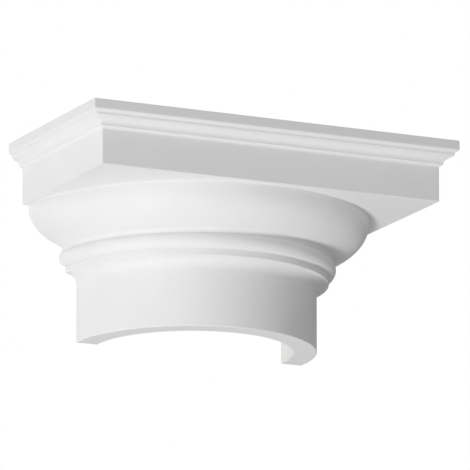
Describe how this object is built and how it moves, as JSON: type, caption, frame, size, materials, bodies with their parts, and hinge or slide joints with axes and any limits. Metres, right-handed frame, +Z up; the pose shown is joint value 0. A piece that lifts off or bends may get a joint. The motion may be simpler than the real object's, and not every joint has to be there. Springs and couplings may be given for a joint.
{
  "type": "half column capital",
  "caption": "Half-round column capital with a flat wall side: square abacus with a crown moulding, echinus, bead and fillet, and an open half-round neck for a shaft.",
  "frame": {"origin": "centre of the footprint of the whole part, at the level of the neck's underside", "axes": "+Z up from the neck to the top of the abacus; -Y out of the front; +Y into the wall, whose plane is the flat back; +X to the right seen from the front"},
  "size_m": [0.4, 0.206, 0.1961],
  "materials": {
    "primed_foam": "smooth satin white primer over moulded rigid foam"
  },
  "bodies": {
    "root": {"half_column_capital": "primed_foam"}
  },
  "joints": []
}
